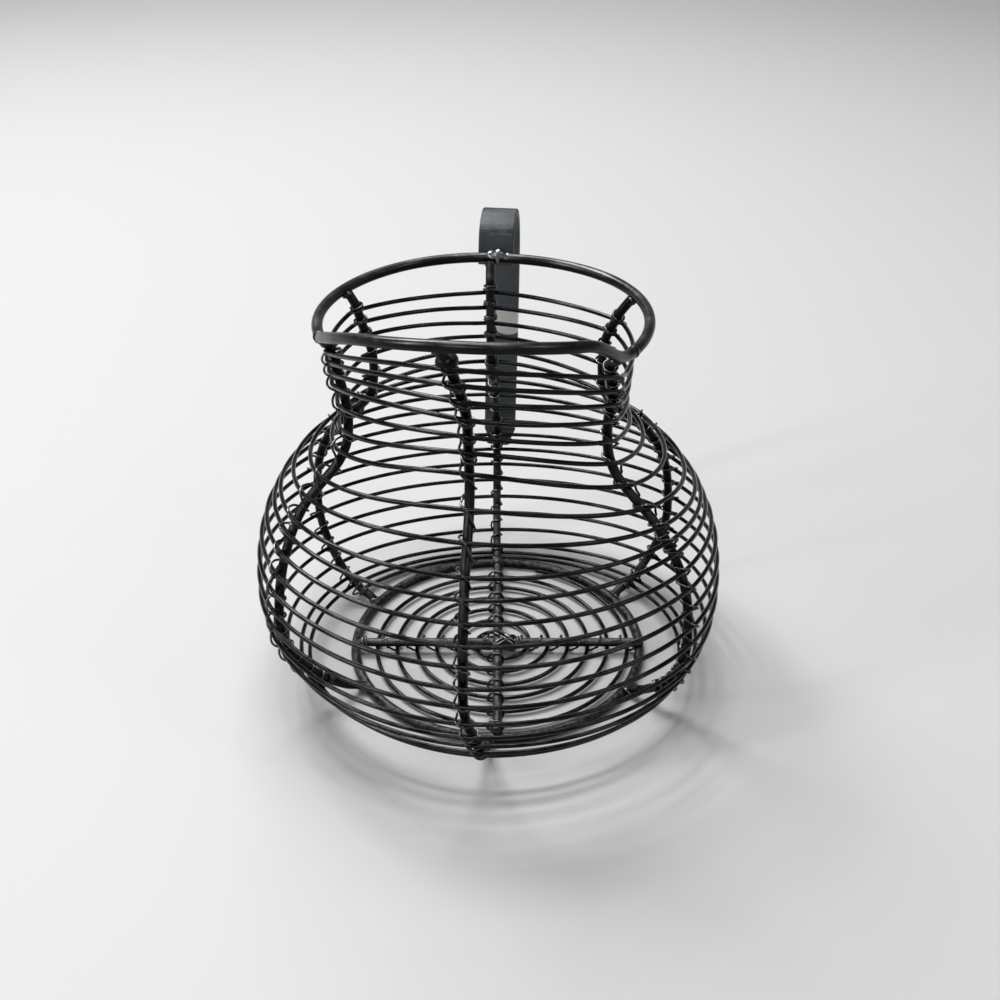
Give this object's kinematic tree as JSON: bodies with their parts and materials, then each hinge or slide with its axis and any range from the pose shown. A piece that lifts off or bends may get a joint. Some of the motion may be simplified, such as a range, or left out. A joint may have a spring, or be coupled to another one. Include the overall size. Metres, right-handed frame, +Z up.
{
  "type": "wire basket",
  "caption": "Pitcher-shaped basket of blackened steel wire, with a round belly, narrow neck, raised pouring lip, spiral-wound base and a strap handle behind",
  "frame": {"origin": "middle of the footprint of the whole basket, on the surface that it stands on", "axes": "+Z up, the pouring lip towards -Y, the strap handle towards +Y"},
  "size_m": [0.1886, 0.202, 0.1778],
  "materials": {
    "wire_steel": "blackened satin steel wire",
    "rim_steel": "blackened satin steel, slightly brown",
    "strap_steel": "blued satin flat steel"
  },
  "bodies": {
    "root": {"rim": "rim_steel", "base_ring": "wire_steel", "rib_front_left": "wire_steel", "lashing_front_left": "wire_steel", "rib_front": "wire_steel", "lashing_front": "wire_steel", "rib_front_right": "wire_steel", "lashing_front_right": "wire_steel", "rib_back_right": "wire_steel", "lashing_back_right": "wire_steel", "rib_back": "wire_steel", "lashing_back": "wire_steel", "rib_back_left": "wire_steel", "lashing_back_left": "wire_steel", "weft": "wire_steel", "base_spiral": "wire_steel", "base_bar_long": "wire_steel", "base_bar_left": "wire_steel", "base_bar_right": "wire_steel", "strap_handle": "strap_steel"}
  },
  "joints": []
}
